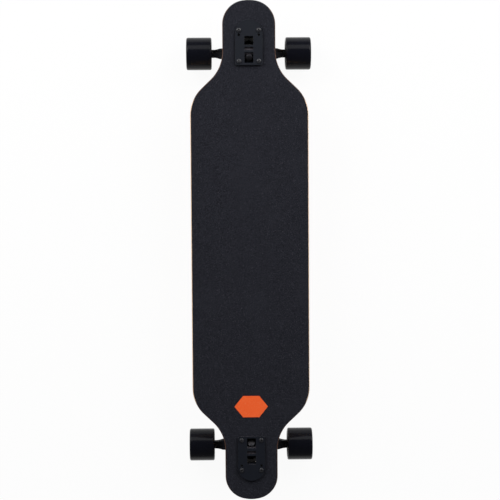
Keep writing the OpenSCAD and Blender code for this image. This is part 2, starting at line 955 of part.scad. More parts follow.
module axle() {
    chamfer = 0.8;
    threaded = axle_l / 2 - chamfer;
    tail = threaded - wheel_x - stack_end - washer_t - axle_nut_h;
    color([0.75, 0.75, 0.77])
        translate([0, axle_at[0], axle_at[1]])
            rotate([0, 90, 0])
                difference() {
                    union() {
                        cylinder(d = axle_d, h = 2 * threaded, center = true);
                        for (side = [0, 1])
                            mirror([0, 0, side])
                                translate([0, 0, threaded])
                                    cylinder(r1 = axle_d / 2, r2 = axle_d / 2 - chamfer, h = chamfer);
                    }
                    for (side = [0, 1])
                        mirror([0, 0, side])
                            translate([0, 0, threaded])
                                thread(axle_d / 2, rod_pitch, tail);
                }
}

module axle_nuts() {
    color([0.7, 0.7, 0.72])
        for (side = [-1, 1])
            translate([side * (wheel_x + stack_end + washer_t), axle_at[0], axle_at[1]])
                rotate([0, side * 90, 0])
                    lock_nut(axle_nut_af, axle_nut_h, axle_d / 2 + press);
}

module speed_washers() {
    color([0.75, 0.75, 0.77])
        for (side = [-1, 1])
            for (x = [wheel_x - stack_end - washer_t, wheel_x + stack_end])
                translate([side * x, axle_at[0], axle_at[1]])
                    rotate([0, side * 90, 0])
                        tube(inner_ring_r - 0.2, axle_d / 2 + press, washer_t);
}

// Section of the tyre: square with rounded lips, dished between the lip and the core
module tyre() {
    r = wheel_d / 2;
    half = wheel_w / 2;
    color([0.13, 0.13, 0.15])
        rotate_extrude($fn = 128)
            difference() {
                union() {
                    translate([core_r, lip_r - half])
                        square([r - core_r, wheel_w - 2 * lip_r]);
                    translate([core_r, -half])
                        square([r - core_r - lip_r, wheel_w]);
                    for (z = [lip_r - half, half - lip_r])
                        translate([r - lip_r, z])
                            circle(r = lip_r);
                }
                for (z = [-1, 1])
                    polygon([
                        [core_r - past, z * core_w / 2], [core_r, z * core_w / 2],
                        [dish_d / 2, z * half], [dish_d / 2, z * (half + past)],
                        [core_r - past, z * (half + past)]
                    ]);
            }
}

// The hard core: a seat for each bearing, a shoulder between them, hollows in both faces
module core() {
    wall_r = (core_r + bearing_r) / 2;
    hollow_r = (core_r - bearing_r) / 2 - 1.5;
    color([0.2, 0.2, 0.22])
        difference() {
            translate([0, 0, -core_w / 2])
                cylinder(r = core_r, h = core_w);
            translate([0, 0, -core_w / 2 - past])
                cylinder(r = shoulder_bore_r, h = core_w + 2 * past);
            for (side = [0, 1])
                mirror([0, 0, side])
                    translate([0, 0, bearing_z])
                        cylinder(r = bearing_r + press, h = core_w);
            for (side = [0, 1])
                mirror([0, 0, side])
                    for (i = [0:core_hollows - 1])
                        rotate([0, 0, 360 * i / core_hollows])
                            translate([wall_r, 0, core_w / 2 - 5])
                                cylinder(r = hollow_r, h = 5 + past);
        }
}

// Places a bearing on each side of the spacer, with its z = 0 at the middle of its width
module at_bearings() {
    for (side = [0, 1])
        mirror([0, 0, side])
            translate([0, 0, bearing_z + bearing_w / 2])
                children();
}

module outer_rings() {
    groove_w = shield_in + shield_t;
    color([0.8, 0.8, 0.82])
        at_bearings()
            rotate_extrude()
                difference() {
                    translate([outer_ring_r, -bearing_w / 2])
                        square([bearing_r - outer_ring_r, bearing_w]);
                    translate([pitch_r, 0])
                        circle(r = ball_r + run);
                    for (z = [-bearing_w / 2, bearing_w / 2 - groove_w])
                        translate([0, z])
                            square([shield_r + press, groove_w]);
                }
}

module inner_rings() {
    color([0.8, 0.8, 0.82])
        at_bearings()
            rotate_extrude()
                difference() {
                    translate([axle_d / 2 + press, -bearing_w / 2])
                        square([inner_ring_r - axle_d / 2 - press, bearing_w]);
                    translate([pitch_r, 0])
                        circle(r = ball_r + run);
                }
}

// The balls of each bearing, held apart by a crown cage
module balls() {
    pocket_r = ball_r + 0.15;
    cage_top = bearing_w / 2 - shield_in - shield_t - 0.15;
    color([0.85, 0.85, 0.87])
        at_bearings() {
            for (i = [0:ball_count - 1])
                rotate([0, 0, 360 * i / ball_count])
                    translate([pitch_r, 0, 0])
                        sphere(r = ball_r);
            difference() {
                translate([0, 0, -0.6])
                    tube(pitch_r + 0.8, pitch_r - 0.8, cage_top + 0.6);
                for (i = [0:ball_count - 1])
                    rotate([0, 0, 360 * i / ball_count])
                        translate([pitch_r, 0, 0])
                            sphere(r = pocket_r);
            }
        }
}

module shields() {
    color([0.1, 0.1, 0.12])
        at_bearings()
            for (side = [0, 1])
                mirror([0, 0, side])
                    translate([0, 0, bearing_w / 2 - shield_in - shield_t])
                        tube(shield_r, inner_ring_r + slide, shield_t);
}

module spacer() {
    color([0.7, 0.7, 0.72])
        translate([0, 0, -spacer_l / 2])
            tube(inner_ring_r - 0.6, axle_d / 2 + press, spacer_l);
}

deck();
grip_tape();
grip_inlay();

at_truck(front) baseplate();  // front_baseplate
at_truck(front) deck_bolts();  // front_deck_bolts
at_truck(front) deck_nuts();  // front_deck_nuts
at_truck(front) kingpin();  // front_kingpin
at_truck(front) kingpin_nut();  // front_kingpin_nut
at_truck(front) cup_washers();  // front_cup_washers
at_truck(front) barrel_bushing();  // front_barrel_bushing
at_truck(front) cone_bushing();  // front_cone_bushing
at_truck(front) pivot_cup();  // front_pivot_cup
at_truck(front) hanger();  // front_hanger
at_truck(front) axle();  // front_axle
at_truck(front) axle_nuts();  // front_axle_nuts
at_truck(front) speed_washers();  // front_speed_washers

at_truck(rear) baseplate();  // rear_baseplate
at_truck(rear) deck_bolts();  // rear_deck_bolts
at_truck(rear) deck_nuts();  // rear_deck_nuts
at_truck(rear) kingpin();  // rear_kingpin
at_truck(rear) kingpin_nut();  // rear_kingpin_nut
at_truck(rear) cup_washers();  // rear_cup_washers
at_truck(rear) barrel_bushing();  // rear_barrel_bushing
at_truck(rear) cone_bushing();  // rear_cone_bushing
at_truck(rear) pivot_cup();  // rear_pivot_cup
at_truck(rear) hanger();  // rear_hanger
at_truck(rear) axle();  // rear_axle
at_truck(rear) axle_nuts();  // rear_axle_nuts
at_truck(rear) speed_washers();  // rear_speed_washers

at_wheel(front, left) tyre();  // front_left_tyre
at_wheel(front, left) core();  // front_left_core
at_wheel(front, left) outer_rings();  // front_left_outer_rings
at_wheel(front, left) inner_rings();  // front_left_inner_rings
at_wheel(front, left) balls();  // front_left_balls
at_wheel(front, left) shields();  // front_left_shields
at_wheel(front, left) spacer();  // front_left_spacer

at_wheel(front, right) tyre();  // front_right_tyre
at_wheel(front, right) core();  // front_right_core
at_wheel(front, right) outer_rings();  // front_right_outer_rings
at_wheel(front, right) inner_rings();  // front_right_inner_rings
at_wheel(front, right) balls();  // front_right_balls
at_wheel(front, right) shields();  // front_right_shields
at_wheel(front, right) spacer();  // front_right_spacer

at_wheel(rear, left) tyre();  // rear_left_tyre
at_wheel(rear, left) core();  // rear_left_core
at_wheel(rear, left) outer_rings();  // rear_left_outer_rings
at_wheel(rear, left) inner_rings();  // rear_left_inner_rings
at_wheel(rear, left) balls();  // rear_left_balls
at_wheel(rear, left) shields();  // rear_left_shields
at_wheel(rear, left) spacer();  // rear_left_spacer

at_wheel(rear, right) tyre();  // rear_right_tyre
at_wheel(rear, right) core();  // rear_right_core
at_wheel(rear, right) outer_rings();  // rear_right_outer_rings
at_wheel(rear, right) inner_rings();  // rear_right_inner_rings
at_wheel(rear, right) balls();  // rear_right_balls
at_wheel(rear, right) shields();  // rear_right_shields
at_wheel(rear, right) spacer();  // rear_right_spacer
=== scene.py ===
# %% [markdown]
# # Dressing a drop-through longboard
#
# The board, its two trucks and its four wheels come from a CAD model that is already packed, with every
# piece in its place. This lesson gives each piece the finish of the real thing: maple veneers, gritty tape,
# black-coated castings, urethane and steel. It also makes the few pieces that a rigid solid can't stand for,
# sets the camera where the photograph was taken from, and lights the board with soft studio light.
#
# We work in metres, as Blender does. Where a pattern is finer than that, we go over to millimetres.

# %% Load the packed board
import math

import bmesh
import bpy
from mathutils import Matrix, Vector


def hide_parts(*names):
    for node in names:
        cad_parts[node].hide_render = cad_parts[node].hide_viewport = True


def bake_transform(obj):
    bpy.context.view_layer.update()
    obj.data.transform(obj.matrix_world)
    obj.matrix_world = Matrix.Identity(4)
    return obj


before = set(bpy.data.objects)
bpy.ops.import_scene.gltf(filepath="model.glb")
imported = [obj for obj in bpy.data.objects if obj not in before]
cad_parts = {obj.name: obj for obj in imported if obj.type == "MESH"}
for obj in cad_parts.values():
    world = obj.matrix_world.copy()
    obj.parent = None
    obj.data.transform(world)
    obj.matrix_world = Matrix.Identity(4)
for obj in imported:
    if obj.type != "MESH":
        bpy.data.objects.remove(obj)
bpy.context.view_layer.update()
MM = 0.001

# %% [markdown]
# ## Names of the pieces
#
# The two trucks are alike, and so are the four wheels. We only write each kind of piece once, and let two
# small functions spell out the names for us, so that no piece can be forgotten.

# %% Name the pieces
ENDS = {"front": 1, "rear": -1}
SIDES = ("left", "right")


def truck_nodes(*kinds):
    return [f"{end}_{kind}" for end in ENDS for kind in kinds]


def wheel_nodes(*kinds):
    return [f"{end}_{side}_{kind}" for end in ENDS for side in SIDES for kind in kinds]


print("truck pieces:", truck_nodes("hanger"), "wheel pieces:", wheel_nodes("tyre"))

# %% [markdown]
# ## The camera
#
# The photograph looks straight down on the board from about three metres, with the nose at the top. We know
# the real places of the bolts, the wheels and the deck's edges, so the camera's place and tilt can be worked
# out from where they lie in the picture. A long lens keeps the board's sides nearly parallel.

# %% Set the camera
LENS = 99.99
STAND = (-0.0467, 0.1714, 2.9776)
TURNS = (-3.310, -0.9425, -0.3763)

camera_data = bpy.data.cameras.new("photo_camera")
camera_data.lens = LENS
camera_data.clip_end = 100
camera = bpy.data.objects.new("photo_camera", camera_data)
camera.location = STAND
camera.rotation_euler = [math.radians(turn) for turn in TURNS]
scene = bpy.context.scene
scene.collection.objects.link(camera)
scene.camera = camera
scene.view_settings.view_transform = "Standard"
print("camera height in m:", camera.location.z, "lens in mm:", camera_data.lens)

# %% [markdown]
# ## Shader maths as Python
#
# A material is a graph of small nodes, and a graph that is typed node by node is hard to read. So we wrap an
# output socket in one small class. Adding or multiplying two wires adds the Math node for it, and any other
# node comes from the one method `node`. A wire knows whether it carries a number or a vector, because a
# number's node would flatten a vector to grey.

# %% Wrap a socket
class Wire:
    """One output of a node. Sums on it add the nodes that work them out."""

    def __init__(self, socket):
        self.socket = socket

    def node(self, kind, settings, *values, out=None, **named):
        """Adds a node beside this wire: its own settings first, then its sockets, in order or by name."""
        made = self.socket.id_data.nodes.new(kind)
        for setting, value in settings.items():
            setattr(made, setting, value)
        for socket, value in zip([s for s in made.inputs if s.enabled], values):
            feed(socket, value)
        for name, value in named.items():
            feed(made.inputs[name.replace("_", " ")], value)
        return Wire(made.outputs[out] if out else next(s for s in made.outputs if s.enabled))

    def maths(self, operation, other=0.0, other_first=False):
        """Works out a sum of this wire and another value, as numbers or as vectors."""
        pair = (other, self) if other_first else (self, other)
        if self.socket.type == "VECTOR":
            pair = [(v,) * 3 if isinstance(v, (int, float)) else v for v in pair]
            return self.node("ShaderNodeVectorMath", {"operation": operation}, *pair)
        return self.node("ShaderNodeMath", {"operation": operation}, *pair)

    def __add__(self, other):
        return self.maths("ADD", other)

    def __sub__(self, other):
        return self.maths("SUBTRACT", other)

    def __mul__(self, other):
        return self.maths("MULTIPLY", other)

    def __pow__(self, other):
        return self.maths("POWER", other)

    def __rsub__(self, other):
        return self.maths("SUBTRACT", other, other_first=True)

    def __abs__(self):
        return self.maths("ABSOLUTE")

    __radd__ = __add__
    __rmul__ = __mul__


def feed(socket, value):
    """Links a wire to a socket, or writes a plain value in it."""
    if isinstance(value, Wire):
        socket.id_data.links.new(value.socket, socket)
    elif socket.type == "RGBA":
        socket.default_value = (*value[:3], 1)
    else:
        socket.default_value = value


print("sums that a wire knows:", [name for name in vars(Wire) if name.startswith("__r")])

# %% [markdown]
# A few helpers come back in nearly every material: splitting a place into x, y and z and joining them again,
# a soft step from 0 to 1, a noise of a given grain, a blend of two colours under a mask, and a colour as it
# reads in a picture.

# %% Helpers for patterns
def split(vector):
    made = vector.node("ShaderNodeSeparateXYZ", {}, vector)
    return [Wire(socket) for socket in made.socket.node.outputs]


def join(x, y, z):
    source = next(v for v in (x, y, z) if isinstance(v, Wire))
    return source.node("ShaderNodeCombineXYZ", {}, x, y, z)


def step(value, low, high):
    """0 at low, 1 at high and a smooth rise between them. low may be the greater, and then it falls."""
    return value.node(
        "ShaderNodeMapRange", {"interpolation_type": "SMOOTHSTEP"}, value, low, high, 0.0, 1.0
    )


def noise(place, grain, detail=2.0, roughness=0.5):
    """Cloudy noise from 0 to 1, whose spots are about grain across, in the unit of place."""
    return place.node(
        "ShaderNodeTexNoise", {}, Vector=place, Scale=1 / grain, Detail=detail, Roughness=roughness
    )


def blend_colours(mask, under, over):
    return mask.node("ShaderNodeMix", {"data_type": "RGBA"}, mask, under, over)


def srgb(*levels):
    """A colour read from a picture, 0 to 255, as the linear light that shaders work in."""
    shares = [level / 255 for level in levels]
    return [s / 12.92 if s <= 0.04045 else ((s + 0.055) / 1.055) ** 2.4 for s in shares]


print("mid grey as linear light:", round(srgb(128)[0], 3))

# %% [markdown]
# A finish starts as one Principled shader. What is the same all over goes straight into the shader's own
# sockets. The place of each point, in millimetres, is the start of every pattern. It moves with the piece, so
# a pattern stays put when a wheel turns.
#
# Cast, pressed and turned metal has no knife edges. Cycles' Bevel node tilts the shading near an edge as a
# small rounding would, and a Bump node lays the grain of the surface over it.

# %% Start a finish, and put it on pieces
BEVEL_SAMPLES = 4


def new_finish(name, **constants):
    """A material, its shader and the place of each point in mm."""
    material = bpy.data.materials.new(name)
    material.use_nodes = True
    shader = material.node_tree.nodes["Principled BSDF"]
    for socket, value in constants.items():
        feed(shader.inputs[socket.replace("_", " ")], value)
    coordinates = material.node_tree.nodes.new("ShaderNodeTexCoord")
    return material, shader, Wire(coordinates.outputs["Object"]) * (1 / MM)


def relief(shader, height, depth, strength=1.0, edge=0.0):
    """Bumps the surface by height, 0 to 1, times depth in mm, and rounds its edges to a radius in mm."""
    normal = {}
    if edge:
        bevel = height.node("ShaderNodeBevel", {"samples": BEVEL_SAMPLES}, Radius=edge * MM)
        normal = {"Normal": bevel}
    bump = height.node(
        "ShaderNodeBump", {}, Height=height, Distance=depth * MM, Strength=strength, **normal
    )
    feed(shader.inputs["Normal"], bump)


dressed = set()


def dress(nodes, material):
    for node in nodes:
        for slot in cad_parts[node].material_slots:
            slot.material = material
        dressed.add(node)
    print(material.name, "on", len(nodes), "nodes")


# %% [markdown]
# ## The deck
#
# The deck is nine maple veneers glued under pressure. Two things tell real plywood apart: the stripes of its
# edge, and the long grain of its faces. The stripes must follow the dished shape of the deck, so the shader
# first takes away the rise of the rails, the same arc that the CAD model uses. What is left, counted in
# veneers from the deck's lower face, tells which veneer a point is in. Every second veneer lies across the
# board. Where two veneers meet, a thin brown line is the glue.

# %% Find the veneer
DECK_BOTTOM, DECK_THICK, PLIES = 82.0, 12.0, 9
FLAT_HALF, RAIL_ARC = 40.0, 426.8
FACE_INSET = 0.18
GLUE = (0.03, 0.10)

maple, shader, place = new_finish("maple_veneers", Coat_Roughness=0.25, IOR=1.45)
x, y, z = split(place)
past_flat = (abs(x) - FLAT_HALF).maths("MAXIMUM", 0.0)
rise = RAIL_ARC - (RAIL_ARC**2 - past_flat * past_flat) ** 0.5
height = (z - rise - DECK_BOTTOM) * (PLIES / DECK_THICK)
inside = height.node("ShaderNodeClamp", {}, height, FACE_INSET, PLIES - FACE_INSET)
ply = inside.maths("FLOOR")
across = (ply * 0.5).maths("FRACT") * 2
to_glue = abs((inside + 0.5).maths("FRACT") - 0.5)
glue = 1 - step(to_glue, *GLUE)
print("thickness of a veneer in mm:", round(DECK_THICK / PLIES, 2))

# %% [markdown]
# Maple has fine streaks that run along the board. Broader waves show where the lathe's knife cut through the
# years of the tree: each year rises slowly to its dark late wood and ends sharply. Both are noise that is
# stretched along the board, and each veneer gets its own piece of it.

# %% Grain of the maple
STREAKS_TO_MM = (1.6, 0.035)
WAVES_TO_MM = (0.03, 0.004)
YEARS, LATE_WOOD = 14, 0.75

lengthwise = join(x * STREAKS_TO_MM[0], y * STREAKS_TO_MM[1], ply * 9.0 + z * 0.5)
streaks = noise(lengthwise, 1.0, detail=4.0, roughness=0.6)
waves = noise(join(x * WAVES_TO_MM[0], y * WAVES_TO_MM[1], ply * 3.0), 1.0, detail=1.0)
years = (waves * YEARS).maths("FRACT")
figure = step(years, 0.0, LATE_WOOD) * (1 - step(years, LATE_WOOD, 1.0))
print("length of a streak in mm:", round(1 / STREAKS_TO_MM[1]))

# %% [markdown]
# Veneers that lie across show darker end grain at the deck's edge. The top veneer carries painted shade: black
# round the trucks for the shadow in the gap beside each flange, and brown along the necks, where the edge lies
# in shade. Along the straight rails, where the tape's edge was filed, the maple shows pale, and it is
# brightened to a painted highlight where the rails catch the light. A clear coat lies over all of it, thinner
# over the glue.

# %% Colour of the maple
TOP_PLY = (PLIES - 1.15, PLIES - 0.95)
FLANGE_GAP_SHADE = (38.0, 44.0)
FILED_LIT_RAIL = (112.0, 118.0)

colour = blend_colours(step(streaks, 0.35, 0.7), srgb(236, 205, 165), srgb(214, 172, 124))
colour = blend_colours(figure * 0.30, colour, srgb(196, 148, 100))
colour = blend_colours(across * 0.35, colour, srgb(176, 128, 84))
colour = blend_colours(glue * 0.8, colour, srgb(120, 78, 46))
# Painted shade: black in the shadow of the gap beside each flange, brown along the shaded necks.
top_ply_shade = blend_colours(step(abs(x), *FLANGE_GAP_SHADE), srgb(30, 31, 38), srgb(88, 54, 34))
# Painted highlight: pale, brightened maple along the straight rails, where they catch the light.
top_ply_shade_and_highlight = blend_colours(step(abs(x), *FILED_LIT_RAIL), top_ply_shade, srgb(255, 218, 182))
feed(shader.inputs["Base Color"], blend_colours(step(height, *TOP_PLY), colour, top_ply_shade_and_highlight))
feed(shader.inputs["Roughness"], 0.36 + streaks * 0.16)
feed(shader.inputs["Coat Weight"], 0.35 - glue * 0.25)
relief(shader, streaks * 0.7 - glue * 0.6, 0.08, 0.5, edge=2.5)
dress(["deck"], maple)

# %% [markdown]
# ## Grip tape
#
# Grip tape is sandpaper: grains of grit of about half a millimetre, set in black resin. A Voronoi texture
# gives each grain its own cell. The cell's random colour says how bright the grain is, and the distance to
# its middle makes the bump. The resin took more grit in some spots than in others, so a noise of about two
# millimetres adds clumps. One grain in forty gets a painted glint: a pale colour that stands for a grain
# facing the light. Soft clouds on top stand for the dust that shoes leave. The orange inlay is the same stuff
# in another colour, so both come from one function.

# %% Grip tape and inlay
GRAINS_TO_MM = 2.0
CLUMP, CLOUD = 2.2, 60.0
PAINTED_GLINTS = (0.975, 1.0)


def gritty(name, resin, grain, painted_glint, dust):
    material, shader, place = new_finish(name, Specular_IOR_Level=0.08)
    cells = place.node("ShaderNodeTexVoronoi", {}, Vector=place, Scale=GRAINS_TO_MM, out="Color")
    to_middle = Wire(cells.socket.node.outputs["Distance"])
    lot, chance, _ = split(cells)
    clumps = step(noise(place, CLUMP, detail=1.0), 0.35, 0.65)
    clouds = step(noise(place, CLOUD, detail=3.0), 0.45, 0.8)
    colour = blend_colours(lot * 0.5 + clumps * 0.45, resin, grain)
    # Painted highlight: one grain in forty takes a pale glint colour.
    colour = blend_colours(step(chance, *PAINTED_GLINTS), colour, painted_glint)
    feed(shader.inputs["Base Color"], blend_colours(clouds * 0.35, colour, dust))
    feed(shader.inputs["Roughness"], 0.95 - lot * 0.25)
    relief(shader, 1 - to_middle * 1.2, 0.25, 0.6)
    return material


black_grit = gritty(
    "black_grit",
    resin=srgb(21, 22, 27), grain=srgb(45, 46, 54), painted_glint=srgb(92, 92, 102), dust=srgb(43, 44, 51),
)
orange_grit = gritty(
    "orange_grit",
    resin=srgb(255, 97, 45), grain=srgb(255, 111, 56), painted_glint=srgb(255, 170, 120), dust=srgb(240, 110, 66),
)
dress(["grip_tape"], black_grit)
dress(["grip_inlay"], orange_grit)

# %% [markdown]
# ## Castings
#
# Baseplates and hangers are cast aluminium with a black coat. The coat is never quite smooth: it has a fine
# grain from the sand or the die, and a slow unevenness in its gloss. Along the edges the coat is painted a
# little lighter in patches: partly wear where feet and kerbs touch it, partly a painted highlight for the
# light that the edges catch. A Bevel node finds those edges: there the rounded normal and the true one part.

# %% Find the edges for wear and painted highlight
EDGE_REACH = 0.7
PARTING = (0.04, 0.3)


def edge_wear_and_highlight(place):
    """1 along the edges and 0 on the faces."""
    rounded = place.node("ShaderNodeBevel", {"samples": BEVEL_SAMPLES}, Radius=EDGE_REACH * MM)
    flat = place.node("ShaderNodeNewGeometry", {}, out="Normal")
    alike = rounded.node("ShaderNodeVectorMath", {"operation": "DOT_PRODUCT"}, rounded, flat, out="Value")
    return step(1 - alike, *PARTING)


print("wear reaches in from an edge, in mm:", EDGE_REACH)

# %% [markdown]
# Round the bushings, just under the deck, a truck is painted dead black: painted shade for the deep shadow
# there. How high it reaches depends on the piece: it covers the kingpin's head, but only the deep walls of the
# baseplate. The floor of the shallow slot between the two windows is painted a paler grey. Both are bands of
# height, because height is what tells such places from the rest.

# %% Black-coated castings and black steel
SHADE_FROM, SHADE_FADE = (50.0, 58.0), 5.0
SLOT_FLOOR_FROM, SLOT_FLOOR_TO = (94.0, 94.6), (96.4, 97.0)


def coated(name, body, worn_and_lit, roughness, grain, depth, gloss, shade_top):
    material, shader, place = new_finish(name, Specular_IOR_Level=gloss)
    fine = noise(place, grain, detail=3.0)
    slow = noise(place, 14.0, detail=2.0)
    # Lighter edges: partly wear, partly a painted highlight where the edges catch the light.
    wear_and_highlight = edge_wear_and_highlight(place) * step(slow, 0.35, 0.6)
    height = split(place)[2]
    # Painted shade: dead black in the deep shadow round the bushings, under the deck.
    under_deck_shade = step(height, *SHADE_FROM) * (1 - step(height, shade_top - SHADE_FADE, shade_top))
    # A paler grey painted on the floor of the shallow slot between the two windows.
    dust = step(height, *SLOT_FLOOR_FROM) * (1 - step(height, *SLOT_FLOOR_TO))
    colour = blend_colours(wear_and_highlight * 0.75, body, worn_and_lit)
    colour = blend_colours(dust * 0.9, colour, srgb(72, 68, 74))
    feed(shader.inputs["Base Color"], blend_colours(under_deck_shade * 0.9, colour, srgb(6, 6, 8)))
    feed(shader.inputs["Roughness"], roughness + slow * 0.14 - wear_and_highlight * 0.1 + under_deck_shade * 0.3)
    relief(shader, fine, depth, 0.5, edge=0.5)
    return material


black_casting = coated(
    "black_casting", body=srgb(17, 21, 30), worn_and_lit=srgb(88, 90, 98),
    roughness=0.48, grain=0.8, depth=0.06, gloss=0.22, shade_top=90.0,
)
black_oxide = coated(
    "black_oxide", body=srgb(34, 34, 39), worn_and_lit=srgb(120, 120, 124),
    roughness=0.3, grain=0.4, depth=0.02, gloss=0.4, shade_top=99.0,
)
dress(truck_nodes("baseplate", "hanger"), black_casting)
dress(truck_nodes("deck_bolts", "kingpin", "cup_washers"), black_oxide)

# %% [markdown]
# ## Bare steel
#
# Nuts, washers and axles are steel with a thin coat of zinc. It is metal all through, so Metallic is 1 and
# the colour is that of its reflection. Zinc shows faint cloudy spangle. The axle was turned, and turning
# leaves fine rings round it.

# %% Zinc-plated steel and turned steel
DULLED = 0.78


def bare_metal(name, tint, roughness, spots, rings=None):
    """Metal with cloudy gloss, and with turning marks where rings gives their pitch in mm along x."""
    material, shader, place = new_finish(name, Metallic=1.0)
    clouds = noise(place, spots, detail=3.0)
    darker = [c * DULLED for c in tint]
    feed(shader.inputs["Base Color"], blend_colours(step(clouds, 0.3, 0.7), darker, tint))
    feed(shader.inputs["Roughness"], roughness + clouds * 0.16)
    marks = (split(place)[0] * (2 * math.pi / rings)).maths("SINE") if rings else clouds
    relief(shader, marks, 0.01, 0.5, edge=0.25)
    return material


zinc_plate = bare_metal("zinc_plate", srgb(198, 198, 196), roughness=0.24, spots=2.5)
turned_steel = bare_metal("turned_steel", srgb(190, 191, 194), roughness=0.22, spots=6.0, rings=0.35)
dress(truck_nodes("deck_nuts", "kingpin_nut", "axle_nuts", "speed_washers"), zinc_plate)
dress(truck_nodes("axle") + wheel_nodes("spacer"), turned_steel)

# %% [markdown]
# ## Wheels
#
# A longboard wheel is urethane cast round a hard core. Its tread comes off the lathe with a fine grain, and
# its sides keep the smoothness of the mould. All four wheels share one material: taking the size of x and y
# folds the four of them onto one. From there, the distance to the axle and the place along it tell where on
# the wheel a point lies.

# %% Where a point lies on its wheel
WHEEL_X, AXLE_Y, AXLE_Z = 104.0, 415.0, 34.0


def on_wheel(place):
    """How far each point is from its axle, and its place along the axle from the wheel's middle, in mm."""
    x, y, z = split(place)
    run = abs(y) - AXLE_Y
    rise = z - AXLE_Z
    return (run * run + rise * rise) ** 0.5, abs(x) - WHEEL_X


print("wheels stand", WHEEL_X, "mm out from the middle of the board")

# %% [markdown]
# The tread's grain is stretched round the wheel by reading the noise at the radius and the place along the
# axle only. A second, even noise adds the light dust of the road. New urethane is glossy: the photograph shows
# a band of light on the wheels that stops sharply, so the roughness is low.

# %% Urethane tyres
TREAD_EDGE = (32.4, 33.6)

urethane, shader, place = new_finish("black_urethane", Specular_IOR_Level=0.13)
radius, along = on_wheel(place)
tread = step(radius, *TREAD_EDGE)
turned = noise(join(radius * 0.2, along * 3.0, 0.0), 1.0, detail=3.0)
dust = noise(place, 5.0, detail=4.0, roughness=0.6)
colour = blend_colours(step(dust, 0.5, 0.8) * 0.5, srgb(13, 14, 21), srgb(21, 22, 29))
feed(shader.inputs["Base Color"], colour)
feed(shader.inputs["Roughness"], 0.10 + tread * 0.04 + dust * 0.06)
relief(shader, turned * (0.3 + tread * 0.7), 0.03, 0.4)
dress(wheel_nodes("tyre"), urethane)

# %% [markdown]
# The core is glass-filled plastic, a little greyer than the tyre, with short fibres that show as fine flecks.

# %% Plastic cores
core, shader, place = new_finish("core_plastic", Specular_IOR_Level=0.4)
flecks = noise(place, 0.5, detail=2.0)
flow = noise(place, 4.0, detail=3.0)
showing = step(flecks, 0.55, 0.75) * 0.6
feed(shader.inputs["Base Color"], blend_colours(showing, srgb(38, 38, 43), srgb(66, 66, 72)))
feed(shader.inputs["Roughness"], 0.42 + flow * 0.2)
relief(shader, flecks, 0.03, 0.5, edge=0.3)
dress(wheel_nodes("core"), core)

# %% [markdown]
# ## Bearings
#
# Bearing rings are ground to a mirror, which leaves rings far too fine to see one by one. The balls are
# smoother still.

# %% Bearing steel
def ground_steel(name, tint, roughness):
    material, shader, place = new_finish(name, Metallic=1.0)
    radius, _ = on_wheel(place)
    rings = noise(join(radius * 8.0, 0.0, 0.0), 1.0, detail=1.0)
    darker = [c * 0.9 for c in tint]
    feed(shader.inputs["Base Color"], blend_colours(rings, darker, tint))
    feed(shader.inputs["Roughness"], roughness + rings * 0.08)
    relief(shader, rings, 0.004, 0.4, edge=0.2)
    return material


dress(wheel_nodes("outer_rings", "inner_rings"), ground_steel("ground_steel", srgb(214, 215, 218), 0.12))
dress(wheel_nodes("balls"), ground_steel("polished_steel", srgb(226, 226, 229), 0.06))

# %% [markdown]
# Between the rings sits a black rubber shield with a pressed rib round its middle.

# %% Shields
RIB_RADIUS, RIB_EDGE = 7.5, (0.9, 0.5)

shield, shader, place = new_finish("shield_rubber", Specular_IOR_Level=0.4)
radius, _ = on_wheel(place)
rib = step(abs(radius - RIB_RADIUS), *RIB_EDGE)
spots = noise(place, 1.2, detail=2.0)
feed(shader.inputs["Base Color"], blend_colours(spots, srgb(26, 26, 29), srgb(40, 40, 44)))
feed(shader.inputs["Roughness"], 0.5 + spots * 0.15)
relief(shader, rib + spots * 0.1, 0.15, 0.8)
dress(wheel_nodes("shields"), shield)

# %% [markdown] ## Bushings  The bushings are the truck's springs: two rings of urethane round the kingpin,
# one on each side of the hanger. Through the outer window of the flange the photograph shows only black, so
# they are black. A rigid solid can't stand for them when the truck leans, because one end stays with the deck
# and the other goes with the hanger. Squeezed urethane bulges, so the barrel is a little fuller at its
# middle.

# %% Where the kingpin stands
TRUCK_Y, FLANGE_Z = 426.0, 100.0
HEAD = (-26.0, -5.0)
TILT = math.radians(45)


def kingpin_place(sign, station):
    """The matrix that sets z down the front (1) or rear (-1) kingpin, station mm below its head's top."""
    out = HEAD[0] + station * math.sin(TILT)
    up = HEAD[1] - station * math.cos(TILT)
    turn = Matrix.Rotation(0 if sign == 1 else math.pi, 4, "Z")
    move = Matrix.Translation(Vector((0, TRUCK_Y + out, FLANGE_Z + up)) * MM)
    return turn @ move @ Matrix.Rotation(math.pi + TILT, 4, "X")


print("front kingpin head in mm:", [round(c / MM, 1) for c in kingpin_place(1, 0).translation])

# %% [markdown]
# A lathe needs only a section: points as (radius, height), in order round the ring's cross-section. Each
# point becomes a ring of vertices, and faces join each ring to the next.

# %% Turn a closed ring
SHARP = math.radians(50)


def turned_ring(name, section, matrix, material, segments=64):
    """A ring with a closed section of (radius, height) points in mm, turned round z and set by a matrix."""
    mesh = bmesh.new()
    rings = []
    for radius, height in section:
        turns = [2 * math.pi * i / segments for i in range(segments)]
        rings.append([
            mesh.verts.new(matrix @ (Vector((radius * math.cos(t), radius * math.sin(t), height)) * MM))
            for t in turns
        ])
    for ring, following in zip(rings, rings[1:] + rings[:1]):
        for i in range(segments):
            k = (i + 1) % segments
            mesh.faces.new((ring[i], ring[k], following[k], following[i]))
    bmesh.ops.recalc_face_normals(mesh, faces=mesh.faces)
    data = bpy.data.meshes.new(name)
    mesh.to_mesh(data)
    mesh.free()
    data.shade_smooth()
    data.set_sharp_from_angle(angle=SHARP)
    data.materials.append(material)
    piece = bpy.data.objects.new(name, data)
    scene.collection.objects.link(piece)
    return piece


print("a sharp edge turns by more than", round(math.degrees(SHARP)), "degrees")

